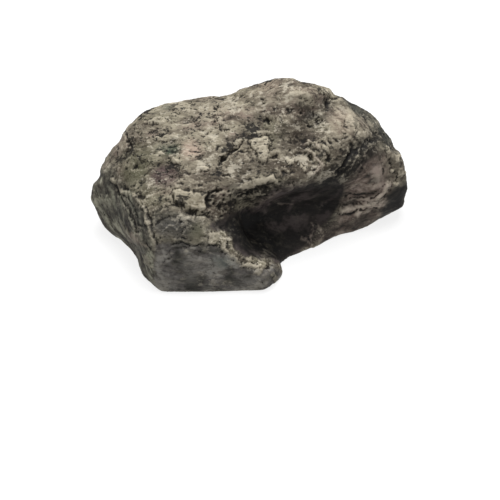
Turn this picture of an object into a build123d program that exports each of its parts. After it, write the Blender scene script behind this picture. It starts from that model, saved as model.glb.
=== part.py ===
from build123d import *
from math import cos, pi, radians, sin
import os

# A small garden stone that hides a house key. The stone is one solid casting of painted
# polyresin. Its flat base holds a moulded key tub, a U-shaped track frame and a door that
# slides out through the stone's right-hand end.
# Millimetres. X runs along the stone, Y across it with the front at -Y, and Z is up.
# The origin is on the ground, under the middle of the stone's overall box.

# ---- overall size of the stone ----
STONE_LENGTH = 83.0
STONE_DEPTH = 57.0
STONE_HEIGHT = 45.0

# ---- room for the key ----
KEY_ROOM_LENGTH = 58.0
KEY_ROOM_WIDTH = 24.5
KEY_ROOM_DEPTH = 11.5
KEY_ROOM_RADIUS = 3.0      # upright corners of the room

# ---- tub ----
TUB_WALL = 1.2
TUB_X = -0.75              # middle of the tub, along the stone
TUB_Y = 6.5                # middle of the tub, across the stone: behind the cave
TUB_GLUE_GAP = 0.25        # between the tub and its pocket, all round and above
FLANGE_THICKNESS = 1.2

# ---- sliding door ----
DOOR_THICKNESS = 1.8
DOOR_LAP = 1.5             # how far the door covers the tub's walls on each side
DOOR_SIDE_GAP = 0.3
DOOR_FACE_GAP = 0.25       # above and below the door
DOOR_END_GAP = 0.3         # to the stop, when the door is shut
DOOR_CORNER = 1.5

# ---- thumb ribs under the door ----
RIB_COUNT = 6
RIB_PITCH = 2.2
RIB_WIDTH = 1.1
RIB_LENGTH = 13.0
RIB_HEIGHT = 0.55
RIB_INSET = 8.0            # from the door's outer end to the middle of the rib group

# ---- track frame ----
FRAME_RECESS = 0.6         # its underside is this far above the ground
RAIL_WALL = 1.4
LIP_THICKNESS = 0.9
LIP_REACH = 2.0            # how far a lip reaches in under the door
FRAME_CORNER = 3.0
FRAME_GLUE_GAP = 0.15      # between the frame and the stone

# ---- channel that lets the door out of the stone ----
CHANNEL_SIDE_GAP = 0.8
CHANNEL_HEADROOM = 0.6

# ---- relief: low broken ridges that run with the stone's grain ----
GRAIN_TURN = -32.0         # the grain's direction, in degrees from X
RIDGE_LENGTH = 29.0        # from one ridge to the next, along the grain
RIDGE_SPACING = 15.0       # across the grain
RIDGE_RISE = 13.0          # up the stone
RIDGE_HEIGHT = 0.75
RIDGE_START = 4.0          # the ridges reach full height this far above the flat base

# ---- levels and lengths worked out from the above ----
DOOR_FLOOR = FRAME_RECESS + LIP_THICKNESS + DOOR_FACE_GAP
FLANGE_FLOOR = DOOR_FLOOR + DOOR_THICKNESS + DOOR_FACE_GAP
FLANGE_TOP = FLANGE_FLOOR + FLANGE_THICKNESS
ROOM_TOP = FLANGE_FLOOR + KEY_ROOM_DEPTH
TUB_TOP = ROOM_TOP + TUB_WALL
TUB_LENGTH = KEY_ROOM_LENGTH + 2 * TUB_WALL
TUB_WIDTH = KEY_ROOM_WIDTH + 2 * TUB_WALL
TUB_RADIUS = KEY_ROOM_RADIUS + TUB_WALL
DOOR_WIDTH = KEY_ROOM_WIDTH + 2 * DOOR_LAP
TRACK_WIDTH = DOOR_WIDTH + 2 * DOOR_SIDE_GAP
FRAME_WIDTH = TRACK_WIDTH + 2 * RAIL_WALL
FRAME_LENGTH = KEY_ROOM_LENGTH + 2 * (DOOR_LAP + DOOR_END_GAP + RAIL_WALL)
FRAME_LEFT = TUB_X - FRAME_LENGTH / 2
FRAME_RIGHT = TUB_X + FRAME_LENGTH / 2
DOOR_LEFT = FRAME_LEFT + RAIL_WALL + DOOR_END_GAP
DOOR_LENGTH = FRAME_RIGHT - DOOR_LEFT

# ---- shape of the stone ----
# Contour lines, bottom to top. Each starts at the stone's front left corner and goes round
# its front: two points on the lobe's front face, the lobe's tip, its right side, three
# points in the cave, three along the front, two at the right front corner, two on the
# right end, one at the back right, four along the back, one at the back left and three
# up the left side. They are drawn at about the stone's size, and stone_points() fits
# them to its length, depth and height.
CONTOURS = [
    (0.0, [(-38, -13.5), (-29.5, -18.5), (-21, -23.5), (-13.5, -27.8), (-6.5, -25), (-4, -20),
           (1, -18.5), (8, -18.5), (16, -18.5), (24, -18), (31, -17), (36.5, -15),
           (40.5, -11), (41.5, -2), (40.5, 10), (38, 21.5), (27.5, 26.8), (10, 27.5),
           (-7, 27), (-20, 27), (-33, 25.5), (-37, 18), (-37, 7), (-38.5, -6)]),
    (5.0, [(-39, -12.5), (-30, -19), (-21.5, -24), (-13.5, -28.5), (-7, -26), (-6, -18),
           (-1, -14.3), (7, -14.2), (15, -16), (23, -18.5), (31, -20.5), (39, -20),
           (42, -16), (43, -3), (41.5, 10), (38, 21.5), (27, 27.8), (10, 28.5),
           (-8, 28.5), (-22, 28), (-34.5, 27), (-39.5, 22.5), (-38.7, 9), (-39.3, -4.5)]),
    (10.0, [(-40.5, -12), (-31, -18.5), (-24, -22.5), (-18, -24), (-12.5, -20), (-11, -12.8),
            (-3, -10.1), (6, -11.1), (15, -13.4), (23, -17.5), (31, -21.5), (39.3, -22.2),
            (42.2, -17), (42.8, -3), (41, 10), (37.5, 21), (26, 27.8), (9, 28.5),
            (-8, 28.5), (-22, 28), (-34.5, 27.5), (-40.5, 24), (-39.5, 9), (-40, -3)]),
    (16.0, [(-40, -10.5), (-31.5, -16.5), (-26, -18), (-20, -17), (-15, -13.7), (-11, -10.4),
            (-4, -10.4), (5, -13), (14, -15.5), (22, -18), (30, -21), (38.3, -21),
            (41.5, -15.5), (41.5, -3), (39.5, 8), (35.5, 19), (23.5, 26.5), (8.5, 27.5),
            (-8, 28), (-21.5, 27.5), (-33.5, 27), (-40, 22.5), (-39.5, 9), (-40, -2)]),
    (21.0, [(-37, -7.5), (-31, -12.5), (-25, -13.5), (-20, -13), (-14.5, -13), (-9, -14),
            (-3, -16), (5, -18), (13, -19), (21, -20), (29, -20.5), (36.6, -19.6),
            (40, -13.5), (39.5, -3), (38, 7), (33, 16.5), (22, 24.5), (8, 26.5),
            (-8, 27.5), (-21, 27), (-32, 26.5), (-38, 21.5), (-37.5, 9), (-38, 0)]),
    (26.0, [(-32, -2), (-27, -7), (-22, -9), (-17, -11), (-12, -13), (-6, -16),
            (0, -18.5), (7, -20), (13, -20.5), (20, -20.5), (27, -19), (33.5, -17),
            (37.5, -11), (37.5, -2), (35.5, 7), (31, 15), (21, 22), (8, 24.5),
            (-8, 26.5), (-20, 26.5), (-29, 25.5), (-34, 20), (-34, 11), (-33.5, 4)]),
    (30.0, [(-27, 4.5), (-23, 0), (-18, -3), (-13, -6), (-8, -9), (-3, -12),
            (2, -14), (8, -15.5), (13, -16.5), (19, -16.5), (25, -15.5), (31, -13.5),
            (34.5, -8.5), (34, -1), (32, 7), (27.5, 14), (19, 20), (8, 22),
            (-7, 24), (-17.5, 26), (-26.5, 25), (-30.6, 20.5), (-30.8, 14.2), (-29.2, 9)]),
    (34.0, [(-21, 12), (-17, 8), (-12, 4), (-7, 0), (-3, -4), (1, -7.5),
            (5, -9.5), (9.5, -11), (14, -12), (19, -12), (23.5, -11), (27.5, -9),
            (30, -5), (29.5, 1), (27.5, 7), (23.5, 12), (16, 15.5), (6.5, 17),
            (-5.5, 19.5), (-14.5, 23), (-22, 24), (-26, 21), (-25.8, 17), (-24.5, 14)]),
    (36.0, [(-12, 9.5), (-9.5, 6), (-6, 3), (-3, 0), (0, -3), (3.5, -6),
            (6.5, -8), (10.5, -9.5), (14.5, -10.5), (19, -10.5), (23, -9.5), (26.3, -7.3),
            (28, -3.5), (27.3, 1.6), (25.3, 6.4), (22, 10.6), (16, 13.3), (8.5, 14.8),
            (0, 16), (-6.5, 18), (-13, 19), (-17, 17.5), (-17.5, 15), (-15.5, 12)]),
    (38.0, [(-1, 7.5), (0, 5.5), (1.5, 3.5), (3, 1), (5, -1.5), (7, -4),
            (9, -6), (11.5, -7.5), (15, -8.5), (18.5, -8.5), (22, -7), (24.5, -5),
            (25.5, -2), (24.5, 2), (22.5, 5.5), (19.5, 8.5), (15, 10.5), (10, 11.5),
            (6.5, 11.2), (4, 10.8), (2, 10.4), (0.8, 9.9), (0, 9.3), (-0.7, 8.5)]),
    (42.0, [(6, 3), (6.5, 1.5), (7, 0), (8, -1.5), (9, -2.5), (10, -3.5),
            (11.5, -4.5), (13, -5), (15, -5.5), (17, -5.5), (18, -5), (18.8, -4),
            (19, -2), (18.6, -0.5), (17.8, 1.2), (16.5, 2.8), (14.6, 4), (12.6, 4.6),
            (11, 4.8), (9.5, 4.8), (8, 4.6), (6.9, 4.3), (6.2, 3.9), (5.9, 3.5)]),
]
SUMMIT = (13.5, 0.0, 45.0)


# The largest plates stand out of the stone and the deepest hollows go in, at places drawn as
# the contours are: (place, how far it reaches round that place, how far it stands out).
PLATES_AND_HOLLOWS = [
    ((-27, -9.5, 24.5), 7.0, 1.5),     # the big plate on the slope above the lobe
    ((-13, -13, 26.5), 6.0, 1.4),      # the rim of the ledge over the cave
    ((-5, -15.5, 27), 5.0, 1.1),
    ((-14, -14, 22.5), 6.0, -1.0),     # the broken rock under that rim
    ((-5, -8.5, 32), 6.5, 1.2),        # the plate in the middle of the top
    ((-18, -25.5, 8), 5.0, 0.9),       # the rim of the lobe's shelf
    ((7, -15.8, 30), 5.0, -1.5),       # the deepest pit
    ((13, -10.7, 35.5), 6.0, -1.2),
    ((19, -7, 38.5), 4.5, -0.9),
    ((24, -13.5, 31.5), 8.0, 1.0),     # the pale shoulder
    ((-15, -9.7, 27.7), 5.0, -1.1),
    ((-30, -0.6, 27.5), 6.0, -0.9),
    ((-21, 1.5, 31.4), 6.0, 1.0),
    ((-7, -4.5, 33), 5.0, -1.1),
    ((1.5, -3, 36.5), 4.5, -0.9),
    ((5.5, -8.5, 35.4), 6.0, 0.8),
    ((-25, -18, 16), 6.0, 0.9),        # the slope behind the lobe
    ((23, -18.5, 10.5), 8.0, 0.9),     # the bulge under the right end
    ((-35, 9, 26), 6.0, 0.9),
    ((-25, 16, 34), 6.0, 0.9),
    ((-36, 14, 22), 6.0, 0.7),
    ((39, -13, 20), 7.0, 0.8),
]


def outward(across, up):
    """The unit vector out of the stone, from a step round it and a step up it."""
    return across.cross(up).normalized()


def relief(place):
    """How far the stone's surface stands out of the contours at a place."""
    turn = radians(GRAIN_TURN)
    along = (place.X * cos(turn) + place.Y * sin(turn)) / RIDGE_LENGTH
    aside = (place.Y * cos(turn) - place.X * sin(turn)) / RIDGE_SPACING
    rise = place.Z / RIDGE_RISE
    ridges = sin(2 * pi * (aside + 0.4 * sin(2 * pi * along)))
    ridges += sin(2 * pi * (rise + 0.35 * sin(2 * pi * (along + 0.3 * aside))))
    height = 0.5 * RIDGE_HEIGHT * ridges * min(place.Z / RIDGE_START, 1.0)
    for middle, reach, stands_out in PLATES_AND_HOLLOWS:
        distance = (place - Vector(*middle)).length / reach
        height += stands_out * max(1 - distance ** 2, 0.0)
    return height


def drawn_points():
    """The contour rings and, between each two, a ring of points in the middles of the cells
    that they bound. Every point above the base stands out of the contours by the relief."""
    rings = [[Vector(x, y, level) for x, y in ring] for level, ring in CONTOURS]
    count = len(rings[0])
    shaped = [rings[0]]
    middles = []
    for k in range(1, len(rings)):
        lower, ring = rings[k - 1], rings[k]
        upper = rings[min(k + 1, len(rings) - 1)]
        cells = []
        for i in range(count):
            a, b = lower[i], lower[(i + 1) % count]
            c, d = ring[(i + 1) % count], ring[i]
            middle = (a + b + c + d) * 0.25
            cells.append(middle + outward(c - a, d - b) * relief(middle))
        middles.append(cells)
        shaped.append([
            point + outward(ring[(i + 1) % count] - ring[i - 1], upper[i] - lower[i])
            * relief(point) for i, point in enumerate(ring)])
    return shaped, middles


def stone_points():
    """The drawn points and the summit, centred and fitted to the stone's overall size."""
    rings, middles = drawn_points()
    drawn = [point for ring in rings + middles for point in ring]
    drawn_x = [point.X for point in drawn]
    drawn_y = [point.Y for point in drawn]
    middle_x = (max(drawn_x) + min(drawn_x)) / 2
    middle_y = (max(drawn_y) + min(drawn_y)) / 2
    scale_x = STONE_LENGTH / (max(drawn_x) - min(drawn_x))
    scale_y = STONE_DEPTH / (max(drawn_y) - min(drawn_y))
    scale_z = STONE_HEIGHT / SUMMIT[2]

    def fitted(point):
        return Vector((point.X - middle_x) * scale_x, (point.Y - middle_y) * scale_y,
                      point.Z * scale_z)

    return ([[fitted(point) for point in ring] for ring in rings],
            [[fitted(point) for point in ring] for ring in middles], fitted(Vector(*SUMMIT)))


def flat_face(*corners):
    """A flat face with straight edges through the corners."""
    return Face(Wire.make_polygon(corners, close=True))


def uncut_stone():
    """The stone's outside, closed across its flat base, as one solid of flat facets: four
    round the middle of each cell between two contours."""
    rings, middles, summit = stone_points()
    faces = [flat_face(*reversed(rings[0]))]
    for lower, upper, cells in zip(rings, rings[1:], middles):
        for i, middle in enumerate(cells):
            a, b = lower[i], lower[(i + 1) % len(lower)]
            c, d = upper[(i + 1) % len(upper)], upper[i]
            for start, end in ((a, b), (b, c), (c, d), (d, a)):
                faces.append(flat_face(start, end, middle))
    top_ring = rings[-1]
    for i, point in enumerate(top_ring):
        faces.append(flat_face(point, top_ring[(i + 1) % len(top_ring)], summit))
    return Solid(Shell(faces))


def block(length, width, radius, floor, top, x=TUB_X, y=TUB_Y):
    """An upright block with rounded corners, between two levels."""
    outline = Pos(x, y, floor) * RectangleRounded(length, width, radius)
    return extrude(outline, top - floor)


def box_between(left, right, width, floor, top):
    """A plain box across the door's middle line, from one X to another."""
    middle = Pos((left + right) / 2, TUB_Y, (floor + top) / 2)
    return middle * Box(right - left, width, top - floor)


def rock_body():
    """The cast stone with its pocket for the tub, its recess for the frame and the channel."""
    pocket = block(TUB_LENGTH + 2 * TUB_GLUE_GAP, TUB_WIDTH + 2 * TUB_GLUE_GAP,
                   TUB_RADIUS + TUB_GLUE_GAP, 0, TUB_TOP + TUB_GLUE_GAP)
    recess = block(FRAME_LENGTH + 2 * FRAME_GLUE_GAP, FRAME_WIDTH + 2 * FRAME_GLUE_GAP,
                   FRAME_CORNER + FRAME_GLUE_GAP, 0, FLANGE_TOP)
    channel_roof = DOOR_FLOOR + DOOR_THICKNESS + CHANNEL_HEADROOM
    channel = box_between(TUB_X, STONE_LENGTH, DOOR_WIDTH + 2 * CHANNEL_SIDE_GAP,
                          0, channel_roof)
    return uncut_stone() - (pocket + recess + channel)


def key_tub():
    """The moulded tub that holds the key, open below, with a flange round its mouth."""
    flange = block(FRAME_LENGTH, FRAME_WIDTH, FRAME_CORNER, FLANGE_FLOOR, FLANGE_TOP)
    shell = block(TUB_LENGTH, TUB_WIDTH, TUB_RADIUS, FLANGE_FLOOR, TUB_TOP)
    room = block(KEY_ROOM_LENGTH, KEY_ROOM_WIDTH, KEY_ROOM_RADIUS, FLANGE_FLOOR, ROOM_TOP)
    return flange + shell - room


def track_frame():
    """The U-shaped frame: two rails with lips under the door, and a stop at the left."""
    body = block(FRAME_LENGTH, FRAME_WIDTH, FRAME_CORNER, FRAME_RECESS, FLANGE_FLOOR)
    track = box_between(FRAME_LEFT + RAIL_WALL, FRAME_RIGHT + RAIL_WALL, TRACK_WIDTH,
                        FRAME_RECESS + LIP_THICKNESS, FLANGE_FLOOR)
    mouth = box_between(FRAME_LEFT + RAIL_WALL + LIP_REACH, FRAME_RIGHT + RAIL_WALL,
                        TRACK_WIDTH - 2 * LIP_REACH, 0, FLANGE_FLOOR)
    return body - track - mouth


def slide_door():
    """The sliding door, with thumb ribs under its outer end."""
    middle = (DOOR_LEFT + FRAME_RIGHT) / 2
    door = block(DOOR_LENGTH, DOOR_WIDTH, DOOR_CORNER, DOOR_FLOOR,
                 DOOR_FLOOR + DOOR_THICKNESS, x=middle)
    group_middle = FRAME_RIGHT - RIB_INSET
    for i in range(RIB_COUNT):
        rib_x = group_middle + (i - (RIB_COUNT - 1) / 2) * RIB_PITCH
        door += box_between(rib_x - RIB_WIDTH / 2, rib_x + RIB_WIDTH / 2, RIB_LENGTH,
                            DOOR_FLOOR - RIB_HEIGHT, DOOR_FLOOR)
    return door


SUB_PARTS = {
    "rock_body": rock_body,
    "key_tub": key_tub,
    "track_frame": track_frame,
    "slide_door": slide_door,
}

os.makedirs("parts", exist_ok=True)
for name, make in SUB_PARTS.items():
    export_step(make(), f"parts/{name}.step")
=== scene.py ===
import math

import bmesh
import bpy
import numpy as np
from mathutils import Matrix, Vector, noise


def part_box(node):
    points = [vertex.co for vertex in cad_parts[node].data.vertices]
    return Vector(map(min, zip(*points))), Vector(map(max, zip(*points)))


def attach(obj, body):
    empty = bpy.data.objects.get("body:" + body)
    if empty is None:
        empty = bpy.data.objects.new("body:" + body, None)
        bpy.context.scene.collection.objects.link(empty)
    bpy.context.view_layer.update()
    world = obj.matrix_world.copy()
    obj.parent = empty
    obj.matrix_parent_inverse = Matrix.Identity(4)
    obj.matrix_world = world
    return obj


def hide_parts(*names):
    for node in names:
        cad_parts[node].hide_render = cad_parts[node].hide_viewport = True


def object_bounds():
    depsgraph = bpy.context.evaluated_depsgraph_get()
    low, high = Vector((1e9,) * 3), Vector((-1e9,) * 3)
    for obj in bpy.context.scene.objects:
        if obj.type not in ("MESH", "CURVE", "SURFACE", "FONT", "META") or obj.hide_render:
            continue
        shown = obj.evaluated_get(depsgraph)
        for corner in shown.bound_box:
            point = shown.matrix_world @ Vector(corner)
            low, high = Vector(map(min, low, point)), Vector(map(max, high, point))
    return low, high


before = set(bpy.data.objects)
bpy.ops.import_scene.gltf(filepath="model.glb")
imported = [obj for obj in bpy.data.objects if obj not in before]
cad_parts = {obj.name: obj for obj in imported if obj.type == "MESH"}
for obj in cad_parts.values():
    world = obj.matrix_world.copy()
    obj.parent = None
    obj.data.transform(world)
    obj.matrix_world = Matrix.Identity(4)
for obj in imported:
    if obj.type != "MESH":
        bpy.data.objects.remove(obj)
cad_low, cad_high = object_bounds()

# A small cast garden stone that hides a house key under a sliding door. The stone's skin is
# modelled here from the plain casting: it is remeshed finely, relaxed, carved and painted, then
# opened underneath for the tub, the frame and the door. Places in the tables are pixels of the
# 500 x 500 photograph. Carving is worked out in millimetres, and the scene is in metres.

MM = 0.001

# ---- the photograph's camera ----
CAMERA_AZIMUTH = math.radians(-32.0)
CAMERA_ELEVATION = math.radians(36.0)
CAMERA_DISTANCE = 430.0 * MM
PIXELS_PER_M = 3460.0                    # at the camera's distance
PHOTO_SIZE = 500
SENSOR = 36.0
ANCHOR = Vector((-1.24 * MM, 0.0, 0.0))  # the point of the ground that shows at ANCHOR_PIXEL
ANCHOR_PIXEL = (253.0, 225.0)

CAMERA_BACK = Vector((math.sin(CAMERA_AZIMUTH) * math.cos(CAMERA_ELEVATION),
                      -math.cos(CAMERA_AZIMUTH) * math.cos(CAMERA_ELEVATION),
                      math.sin(CAMERA_ELEVATION)))
CAMERA_RIGHT = Vector((math.cos(CAMERA_AZIMUTH), math.sin(CAMERA_AZIMUTH), 0.0))
CAMERA_UP = CAMERA_BACK.cross(CAMERA_RIGHT)
CAMERA_PLACE = ANCHOR + CAMERA_BACK * CAMERA_DISTANCE
FOCAL_PIXELS = PIXELS_PER_M * CAMERA_DISTANCE
BEDDING = np.array(CAMERA_RIGHT)         # the stone's grain runs this way


# ---- colour and node helpers ----

def channel_to_linear(value):
    return value / 12.92 if value <= 0.04045 else ((value + 0.055) / 1.055) ** 2.4


def linear(hex_colour):
    """An sRGB colour such as "8a7f6c" as linear red, green, blue."""
    return tuple(channel_to_linear(int(hex_colour[i:i + 2], 16) / 255) for i in (0, 2, 4))


def node(tree, kind, links=(), **settings):
    """Adds a node. A setting named in_X sets input X, and links are (output, input) pairs."""
    made = tree.nodes.new("ShaderNode" + kind)
    for name, value in settings.items():
        if name.startswith("in_"):
            key = name[3:]
            made.inputs[int(key) if key.isdigit() else key.replace("_", " ")].default_value = value
        else:
            setattr(made, name, value)
    for source, target in links:
        tree.links.new(source, made.inputs[target])
    return made


def new_object(name, data):
    """An object for a mesh, a lamp or a camera, placed in the scene."""
    made = bpy.data.objects.new(name, data)
    bpy.context.scene.collection.objects.link(made)
    return made


def evaluated_mesh(thing):
    """A new mesh of an object as its modifiers leave it."""
    bpy.context.view_layer.update()
    graph = bpy.context.evaluated_depsgraph_get()
    return bpy.data.meshes.new_from_object(thing.evaluated_get(graph))


def new_material(name):
    material = bpy.data.materials.new(name)
    material.use_nodes = True
    material.node_tree.nodes.clear()
    return material, material.node_tree


# ---- mesh arrays ----

class Skin:
    """A mesh as arrays: points in mm, and the edges and faces that join them."""

    def __init__(self, mesh):
        count = len(mesh.vertices)
        self.points = np.empty(count * 3)
        mesh.vertices.foreach_get("co", self.points)
        self.points = self.points.reshape(-1, 3) / MM
        edges = np.empty(len(mesh.edges) * 2, dtype=np.int64)
        mesh.edges.foreach_get("vertices", edges)
        self.edges = edges.reshape(-1, 2)
        loops = np.empty(len(mesh.loops), dtype=np.int64)
        mesh.loops.foreach_get("vertex_index", loops)
        self.quads = loops.reshape(-1, 4)
        self.neighbours = np.bincount(self.edges.ravel(), minlength=count).astype(float)

    def spread(self, values):
        """Each point's mean of its neighbours' values."""
        a, b = self.edges[:, 0], self.edges[:, 1]
        columns = values.reshape(len(values), -1)
        out = np.empty_like(columns)
        for i in range(columns.shape[1]):
            total = np.bincount(a, weights=columns[b, i], minlength=len(columns))
            total += np.bincount(b, weights=columns[a, i], minlength=len(columns))
            out[:, i] = total / self.neighbours
        return out.reshape(values.shape)

    def relaxed(self, values, steps):
        """Values drawn halfway to their neighbours' mean, steps times."""
        for _ in range(steps):
            values = values + 0.5 * (self.spread(values) - values)
        return values

    def normals(self, points):
        """The direction that the skin faces at each point."""
        corners = points[self.quads]
        across = np.cross(corners[:, 2] - corners[:, 0], corners[:, 3] - corners[:, 1])
        total = np.zeros_like(points)
        for i in range(4):
            for axis in range(3):
                total[:, axis] += np.bincount(self.quads[:, i], weights=across[:, axis],
                                              minlength=len(points))
        return total / np.maximum(np.linalg.norm(total, axis=1, keepdims=True), 1e-9)


def smooth_step(low, high, value):
    """0 at low and 1 at high, with a soft start and end."""
    t = np.clip((value - low) / (high - low), 0.0, 1.0)
    return t * t * (3.0 - 2.0 * t)


def photo_direction(turn):
    """The direction that shows in the photograph turned so many degrees up from its right."""
    angle = math.radians(turn)
    return np.array(CAMERA_RIGHT) * math.cos(angle) + np.array(CAMERA_UP) * math.sin(angle)


def noise_values(points, size, sample, stretch=1.0, seed=0.0, grain=BEDDING):
    """sample at each point, with size mm to a lump. Lumps are stretch times longer along
    the grain."""
    along = points @ grain
    squeezed = points - np.outer(along * (1 - 1 / stretch), grain)
    return np.array([sample(Vector(p)) for p in squeezed / size + seed * 17.3])


def wave_noise(points, size, stretch=1.0, seed=0.0):
    """Smooth noise from about -1 to 1."""
    return noise_values(points, size, noise.noise, stretch, seed)


def broken_noise(points, size, octaves=4, stretch=1.0, seed=0.0, grain=BEDDING):
    """Rough noise with detail at several sizes, from about -1 to 1."""
    return noise_values(points, size, lambda p: noise.fractal(p, 0.75, 2.1, octaves),
                        stretch, seed, grain)


def pitting(points, size, share, stretch=1.0, seed=0.0):
    """Scattered pits about size mm apart: 1 at the bottom of one, 0 between them. Share is
    the part of the cells that hold a pit."""
    def sample(p):
        distances, cells = noise.voronoi(p)
        return distances[0] if noise.cell(cells[0] * 7.13) > 1 - 2 * share else 1.0
    return smooth_step(0.5, 0.12, noise_values(points, size, sample, stretch, seed))


def terraces(values, steps, edge):
    """Values cut into level steps with steep edges, like the edges of broken layers."""
    level = np.floor(values * steps)
    return (level + smooth_step(0.5 - edge, 0.5 + edge, values * steps - level)) / steps


# ---- the photograph's pixels ----

FAR_AWAY = 1e9


def photo_pixels(points):
    """Where points (mm) show in the photograph."""
    away = points * MM - np.array(CAMERA_PLACE)
    depth = -away @ np.array(CAMERA_BACK)
    across = away @ np.array(CAMERA_RIGHT) / depth * FOCAL_PIXELS
    up = away @ np.array(CAMERA_UP) / depth * FOCAL_PIXELS
    return ANCHOR_PIXEL[0] + across, ANCHOR_PIXEL[1] - up


def line_gap(u, v, line):
    """Each place's distance in pixels from the nearest stretch of a line."""
    nearest = np.full(len(u), FAR_AWAY)
    for (ax, ay), (bx, by) in zip(line, line[1:]):
        along = ((u - ax) * (bx - ax) + (v - ay) * (by - ay)) / ((bx - ax) ** 2 + (by - ay) ** 2)
        along = np.clip(along, 0.0, 1.0)
        gap = np.hypot(u - ax - along * (bx - ax), v - ay - along * (by - ay))
        nearest = np.minimum(nearest, gap)
    return nearest


def inside_outline(u, v, outline, soft):
    """1 inside a pixel outline, 0 outside, with an edge that is soft pixels wide."""
    closed = outline + outline[:1]
    inside = np.zeros(len(u), dtype=bool)
    for (ax, ay), (bx, by) in zip(closed, closed[1:]):
        crosses = (ay > v) != (by > v)
        with np.errstate(divide="ignore", invalid="ignore"):
            at = (bx - ax) * (v - ay) / (by - ay) + ax
        inside ^= crosses & (u < at)
    gap = line_gap(u, v, closed)
    return smooth_step(-soft / 2, soft / 2, np.where(inside, gap, -gap))


def near_line(u, v, line, half_width):
    """1 on a pixel line, falling to 0 at half_width from it."""
    return smooth_step(half_width, 0.0, line_gap(u, v, line))


def dab(u, v, middle_u, middle_v, half_length, half_width, turn):
    """Distance from a dab's middle: 1 on its elliptical edge. Turn raises its right end."""
    angle = math.radians(turn)
    du = u - middle_u
    dv = v - middle_v
    along = du * math.cos(angle) - dv * math.sin(angle)
    across = du * math.sin(angle) + dv * math.cos(angle)
    return np.hypot(along / half_length, across / half_width)


# ---- regions, in photo pixels ----

LOBE_FACE = [(156, 243), (182, 243), (203, 243), (220, 247), (232, 257), (243, 268), (262, 271),
             (273, 266), (280, 275), (274, 286), (262, 296), (160, 297), (155, 270)]
LEFT_FACE = [(117, 180), (131, 193), (143, 206), (144, 218), (149, 229), (154, 241), (156, 263),
             (156, 295), (125, 262), (80, 215), (85, 180), (100, 168)]
# The cave under the ledge; it and its heart are painted near-black as shade.
CAVE = [(207, 229), (214, 221), (228, 213), (250, 208), (260, 203), (277, 194), (294, 189),
        (318, 184), (336, 178), (346, 186), (339, 205), (320, 228), (296, 258), (276, 266),
        (263, 260), (244, 257), (233, 248), (231, 238), (224, 231)]
CAVE_HEART = [(217, 226), (232, 214), (256, 211), (268, 226), (284, 236), (278, 256), (262, 256),
              (246, 252), (237, 244), (233, 234)]
SHELF_BAND = [(256, 207), (272, 190), (293, 184), (318, 180), (300, 192), (280, 202), (264, 212)]
BULGE = [(346, 186), (356, 172), (364, 158), (374, 150), (384, 160), (390, 180), (388, 196),
         (378, 214), (350, 236), (322, 250), (316, 240), (338, 222), (344, 206)]
# A band between the top and the bulge that turns from the light; black is painted along it as
# shade.
SHADE_BAND = [(376, 138), (360, 148), (351, 160), (342, 172), (330, 182), (316, 186)]
SHOULDER = [(322, 108), (336, 98), (352, 106), (368, 120), (380, 138), (366, 150), (350, 146),
            (334, 134)]
SLATE_FACE = [(146, 208), (160, 206), (178, 208), (194, 216), (208, 224), (216, 240), (200, 243),
              (156, 242), (150, 226)]
SPECKLED = [(206, 190), (222, 187), (238, 190), (258, 186), (277, 185), (268, 196), (250, 203),
            (238, 209), (224, 217), (211, 223), (203, 214)]
RIGHT_FOOT = [(425, 172), (406, 183), (397, 188), (387, 196), (380, 210), (385, 235), (430, 220)]


# ---- the stone's skin ----

VOXEL = 0.42                # mm between the skin's points
RELAX_STEPS = 42            # rounds the casting's flat facets off
PLUG_OVERLAP = 0.5          # mm that the plugs reach into the casting
PLUG_INSET = 2.0            # mm from the tub's flange to the plug of its pocket
CHANNEL_PLUG_END = 6.0      # mm from the channel's plug to the stone's right-hand end
BOX_SIDES = [(0, 1, 3, 2), (4, 6, 7, 5), (0, 4, 5, 1), (2, 3, 7, 6), (0, 2, 6, 4), (1, 5, 7, 3)]


def add_box(points, faces, low, high):
    """Adds the eight corners and six sides of a box to a mesh's points and faces."""
    start = len(points)
    points.extend((x, y, z) for x in (low[0], high[0]) for y in (low[1], high[1])
                  for z in (low[2], high[2]))
    faces.extend(tuple(start + i for i in side) for side in BOX_SIDES)


def filled_stone():
    """A copy of the casting with its pocket, recess and channel plugged."""
    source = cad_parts["rock_body"].data
    points = [tuple(v.co) for v in source.vertices]
    faces = [tuple(p.vertices) for p in source.polygons]
    tub_low, tub_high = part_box("key_tub")
    track_low, track_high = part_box("track_frame")
    door_low, door_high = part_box("slide_door")
    over = PLUG_OVERLAP * MM
    inner = PLUG_INSET * MM
    add_box(points, faces, (tub_low.x + inner, tub_low.y + inner, 0.0),
            (tub_high.x - inner, tub_high.y - inner, tub_high.z + over))
    add_box(points, faces, (track_low.x - over, track_low.y - over, 0.0),
            (track_high.x + over, track_high.y + over, tub_low.z + 2 * over))
    add_box(points, faces, (track_high.x - over, door_low.y - 2 * over, 0.0),
            (cad_high.x - CHANNEL_PLUG_END * MM, door_high.y + 2 * over,
             door_high.z + 2 * over))
    mesh = bpy.data.meshes.new("plugged_stone")
    mesh.from_pydata(points, [], faces)
    mesh.update()
    return mesh


def remeshed(mesh, voxel):
    """The mesh as even quads about voxel mm across."""
    carrier = new_object("remesh_carrier", mesh)
    remesh = carrier.modifiers.new("even_quads", "REMESH")
    remesh.mode = "VOXEL"
    remesh.voxel_size = voxel * MM
    made = evaluated_mesh(carrier)
    bpy.data.objects.remove(carrier)
    return made


skin_mesh = remeshed(filled_stone(), VOXEL)
skin = Skin(skin_mesh)
base_points = skin.relaxed(skin.points, RELAX_STEPS)
base_points[:, 2] = np.maximum(base_points[:, 2], 0.0)
base_normals = skin.normals(base_points)
skin_mesh.polygons.foreach_set("use_smooth", np.ones(len(skin.quads), dtype=bool))
stone = new_object("painted_stone", skin_mesh)
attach(stone, "stone")
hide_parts("rock_body")

# ---- the marks of the near side, each at its pixel ----

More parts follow.
